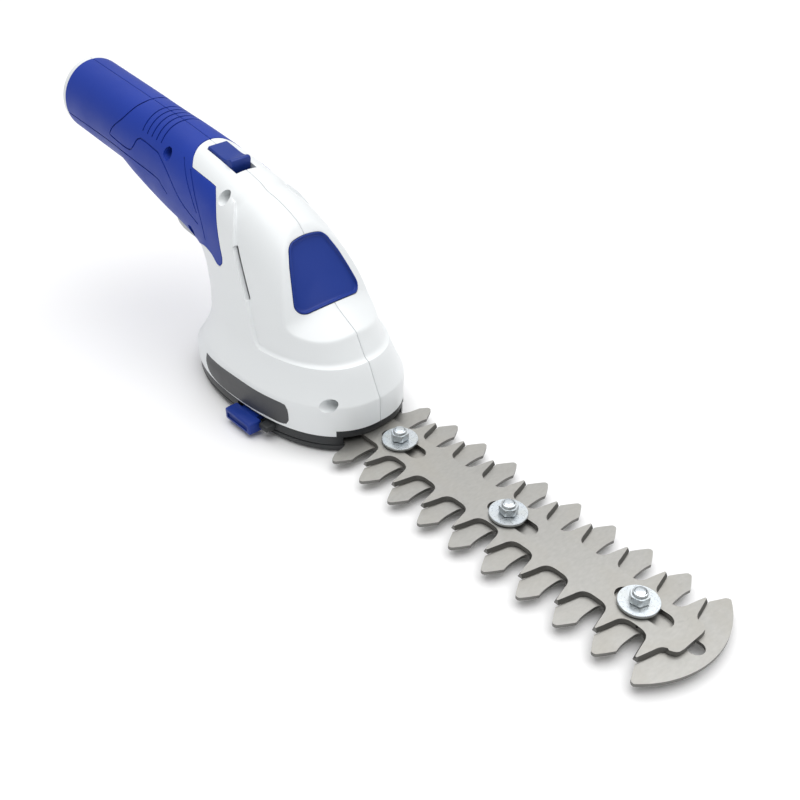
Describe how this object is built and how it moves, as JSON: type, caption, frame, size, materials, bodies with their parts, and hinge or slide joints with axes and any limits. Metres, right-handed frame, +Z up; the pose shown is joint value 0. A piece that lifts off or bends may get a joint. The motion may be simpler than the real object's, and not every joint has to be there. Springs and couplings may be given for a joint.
{
  "type": "cordless shrub shears",
  "caption": "Cordless shrub shears: soft-grip handle, trigger with lock-off slider, geared crank drive and a toothed cutter sliding on a toothed comb.",
  "frame": {"origin": "on the flat sole, right under the axis of the crank gear", "axes": "+X forward along the blades, +Y to the user's left, +Z up from the sole"},
  "size_m": [0.406, 0.0856, 0.121],
  "materials": {
    "white_shell": "fine satin moulding",
    "blue_grip": "matte soft grip",
    "blue_plastic": "satin moulding",
    "grey_plastic": "satin moulding",
    "black_plastic": "satin moulding",
    "blade_steel": "ground, with a thin oil film",
    "zinc": "bright zinc",
    "steel": "bare steel",
    "motor_can": "dark plated can",
    "nylon": "natural nylon",
    "circuit_board": "solder mask",
    "cell_wrap": "shrink film on a steel can",
    "lens": "clear light pipe",
    "bronze": "sintered bush"
  },
  "bodies": {
    "housing": {"housing_right": "white_shell", "housing_left": "white_shell", "grip_right": "blue_grip", "grip_left": "blue_grip", "hood_window": "blue_plastic", "base_plate": "black_plastic", "blade_carrier": "black_plastic", "trigger_switch": "black_plastic", "charge_socket": "black_plastic", "comb_blade": "blade_steel", "blade_bolt_rear": "zinc", "blade_bolt_middle": "zinc", "blade_bolt_front": "zinc", "blade_washer_rear": "zinc", "blade_washer_middle": "zinc", "blade_washer_front": "zinc", "blade_nut_rear": "zinc", "blade_nut_middle": "zinc", "blade_nut_front": "zinc", "motor_plate": "zinc", "motor_screw_right": "zinc", "motor_screw_left": "zinc", "plate_screw_front_left": "zinc", "plate_screw_front_right": "zinc", "plate_screw_rear_left": "zinc", "plate_screw_rear_right": "zinc", "blade_sleeve_rear": "steel", "blade_sleeve_middle": "steel", "blade_sleeve_front": "steel", "comb_rivet_front_left": "steel", "comb_rivet_front_right": "steel", "comb_rivet_rear_left": "steel", "comb_rivet_rear_right": "steel", "gear_axle": "steel", "trigger_pin": "steel", "trigger_spring": "steel", "housing_screw_front": "steel", "housing_screw_neck": "steel", "housing_screw_grip": "steel", "housing_screw_low": "steel", "motor": "motor_can", "charge_board": "circuit_board", "battery_cell_rear": "cell_wrap", "battery_cell_front": "cell_wrap", "charge_lens": "lens"},
    "crank": {"crank_gear": "nylon", "crank_bush": "bronze"},
    "pinion": {"motor_pinion": "steel"},
    "cutter": {"cutter_blade": "blade_steel", "drive_yoke": "nylon", "yoke_rivet_front": "steel", "yoke_rivet_rear": "steel"},
    "trigger_lever": {"trigger": "grey_plastic"},
    "slider": {"lock_off_slider": "blue_plastic"},
    "latch_button_right": {"latch_right": "blue_plastic"},
    "latch_button_left": {"latch_left": "blue_plastic"}
  },
  "joints": [
    {"name": "crank_turn", "type": "hinge", "parent": "housing", "child": "crank", "pos_m": [0, 0, 0.023], "axis": [0, 0, -1], "range_deg": [-137, 44]},
    {"name": "cutter_slide", "type": "slide", "parent": "housing", "child": "cutter", "axis": [1, 0, 0], "range_m": [-0.0091, 0.0029]},
    {"name": "pinion_spin", "type": "hinge", "parent": "housing", "child": "pinion", "pos_m": [-0.0216, 0, 0.0235], "axis": [0, 0, -1], "range_deg": [-220, 685]},
    {"name": "trigger_press", "type": "hinge", "parent": "housing", "child": "trigger_lever", "pos_m": [-0.0775, 0, 0.0656], "axis": [0, 1, 0], "range_deg": [0, 7], "stiffness_Nm_per_rad": 0.12, "springref_deg": -6.88, "deforming": ["trigger_spring"]},
    {"name": "lock_slide", "type": "slide", "parent": "housing", "child": "slider", "axis": [0.9738, 0, -0.2272], "range_m": [0, 0.004], "stiffness_N_per_m": 200, "springref_m": -0.002},
    {"name": "latch_press_right", "type": "slide", "parent": "housing", "child": "latch_button_right", "axis": [0, 1, 0], "range_m": [0, 0.003], "stiffness_N_per_m": 600, "springref_m": -0.002},
    {"name": "latch_press_left", "type": "slide", "parent": "housing", "child": "latch_button_left", "axis": [0, -1, 0], "range_m": [0, 0.003], "stiffness_N_per_m": 600, "springref_m": -0.002}
  ],
  "couplings": [
    {"joint": "crank_turn", "follows": "cutter_slide", "rad_per_m": 261.8},
    {"joint": "pinion_spin", "follows": "cutter_slide", "rad_per_m": -1309}
  ]
}
